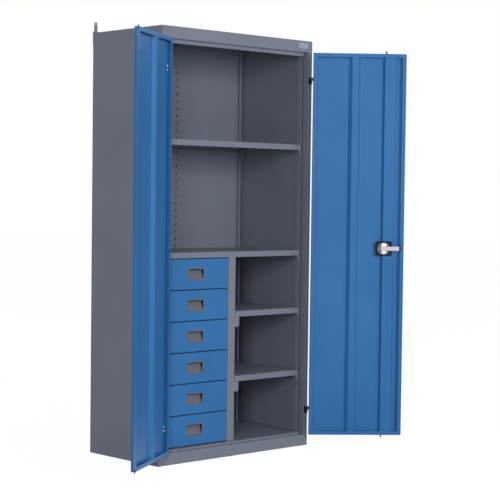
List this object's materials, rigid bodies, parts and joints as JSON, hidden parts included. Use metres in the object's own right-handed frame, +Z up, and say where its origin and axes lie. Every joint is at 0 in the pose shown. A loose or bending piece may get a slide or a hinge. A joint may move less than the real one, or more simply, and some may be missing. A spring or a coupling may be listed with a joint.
{
  "type": "tool cabinet",
  "caption": "Tall double-door sheet-steel tool cabinet with shelves, a bank of drawers with cup pulls, and a rod lock on the right door.",
  "frame": {"origin": "on the floor, at mid-width, under the middle of the plinth's foot flange", "axes": "+Z up, +Y from the front towards the back, +X to the viewer's right"},
  "size_m": [1.6534, 0.8201, 2],
  "materials": {
    "grey_paint": "satin",
    "blue_paint": "satin",
    "pull_plastic": "matte",
    "black_metal": "satin",
    "black_plastic": "matte",
    "chrome": "polished",
    "steel": "brushed"
  },
  "bodies": {
    "cabinet": {"right_side_panel": "grey_paint", "left_side_panel": "grey_paint", "back_panel": "grey_paint", "top_panel": "grey_paint", "top_fascia": "grey_paint", "floor_panel": "grey_paint", "plinth": "grey_paint", "rear_upright_right": "grey_paint", "rear_upright_left": "grey_paint", "rear_upright_centre": "grey_paint", "front_upright_right": "grey_paint", "front_upright_left": "grey_paint", "partition": "grey_paint", "drawer_bank_side": "grey_paint", "upper_shelf": "grey_paint", "middle_shelf": "grey_paint", "right_upper_shelf": "grey_paint", "right_lower_shelf": "grey_paint", "wall_brackets": "grey_paint", "partition_brackets": "grey_paint", "drawer_rails": "steel", "wall_lugs": "grey_paint", "hinge_frame_leaves": "black_metal"},
    "left_door": {"left_door_pan": "blue_paint", "left_door_stiffener": "blue_paint", "left_meeting_strip": "blue_paint", "left_hinge_leaves": "black_metal", "left_bolt_guides": "blue_paint"},
    "right_door": {"right_door_pan": "blue_paint", "right_door_stiffener": "blue_paint", "right_lock_channel": "blue_paint", "right_hinge_leaves": "black_metal", "lock_housing": "black_plastic", "handle_escutcheon": "black_plastic"},
    "lock": {"lock_crank": "chrome", "lock_tongue": "chrome", "outside_handle": "black_plastic"},
    "upper_rod": {"upper_rod": "steel"},
    "lower_rod": {"lower_rod": "steel"},
    "left_top_bolt": {"left_top_bolt": "steel"},
    "left_bottom_bolt": {"left_bottom_bolt": "steel"},
    "drawer_1": {"drawer_1_front": "blue_paint", "drawer_1_tray": "grey_paint", "drawer_1_pull": "pull_plastic"},
    "drawer_2": {"drawer_2_front": "blue_paint", "drawer_2_tray": "grey_paint", "drawer_2_pull": "pull_plastic"},
    "drawer_3": {"drawer_3_front": "blue_paint", "drawer_3_tray": "grey_paint", "drawer_3_pull": "pull_plastic"},
    "drawer_4": {"drawer_4_front": "blue_paint", "drawer_4_tray": "grey_paint", "drawer_4_pull": "pull_plastic"},
    "drawer_5": {"drawer_5_front": "blue_paint", "drawer_5_tray": "grey_paint", "drawer_5_pull": "pull_plastic"},
    "drawer_6": {"drawer_6_front": "blue_paint", "drawer_6_tray": "grey_paint", "drawer_6_pull": "pull_plastic"}
  },
  "joints": [
    {"name": "right_door_hinge", "type": "hinge", "parent": "cabinet", "child": "right_door", "pos_m": [0.4575, -0.026, 0.968], "axis": [0, 0, 1], "range_deg": [-140, 30]},
    {"name": "left_door_hinge", "type": "hinge", "parent": "cabinet", "child": "left_door", "pos_m": [-0.4575, -0.026, 0.968], "axis": [0, 0, -1], "range_deg": [-149, 21]},
    {"name": "lock_turn", "type": "hinge", "parent": "right_door", "child": "lock", "pos_m": [0.72582, -0.26551, 0.96], "axis": [0.6428, 0.766, 0], "range_deg": [0, 90]},
    {"name": "upper_rod_slide", "type": "slide", "parent": "right_door", "child": "upper_rod", "axis": [0, 0, 1], "range_m": [-0.012, 0]},
    {"name": "lower_rod_slide", "type": "slide", "parent": "right_door", "child": "lower_rod", "axis": [0, 0, -1], "range_m": [-0.012, 0]},
    {"name": "left_top_bolt_slide", "type": "slide", "parent": "left_door", "child": "left_top_bolt", "axis": [0, 0, 1], "range_m": [-0.012, 0]},
    {"name": "left_bottom_bolt_slide", "type": "slide", "parent": "left_door", "child": "left_bottom_bolt", "axis": [0, 0, -1], "range_m": [-0.012, 0]},
    {"name": "drawer_1_slide", "type": "slide", "parent": "cabinet", "child": "drawer_1", "axis": [0, -1, 0], "range_m": [0, 0.32]},
    {"name": "drawer_2_slide", "type": "slide", "parent": "cabinet", "child": "drawer_2", "axis": [0, -1, 0], "range_m": [0, 0.32]},
    {"name": "drawer_3_slide", "type": "slide", "parent": "cabinet", "child": "drawer_3", "axis": [0, -1, 0], "range_m": [0, 0.32]},
    {"name": "drawer_4_slide", "type": "slide", "parent": "cabinet", "child": "drawer_4", "axis": [0, -1, 0], "range_m": [0, 0.32]},
    {"name": "drawer_5_slide", "type": "slide", "parent": "cabinet", "child": "drawer_5", "axis": [0, -1, 0], "range_m": [0, 0.32]},
    {"name": "drawer_6_slide", "type": "slide", "parent": "cabinet", "child": "drawer_6", "axis": [0, -1, 0], "range_m": [0, 0.32]}
  ],
  "couplings": [
    {"joint": "upper_rod_slide", "follows": "lock_turn", "m_per_rad": -0.0076394},
    {"joint": "lower_rod_slide", "follows": "lock_turn", "m_per_rad": -0.0076394}
  ]
}
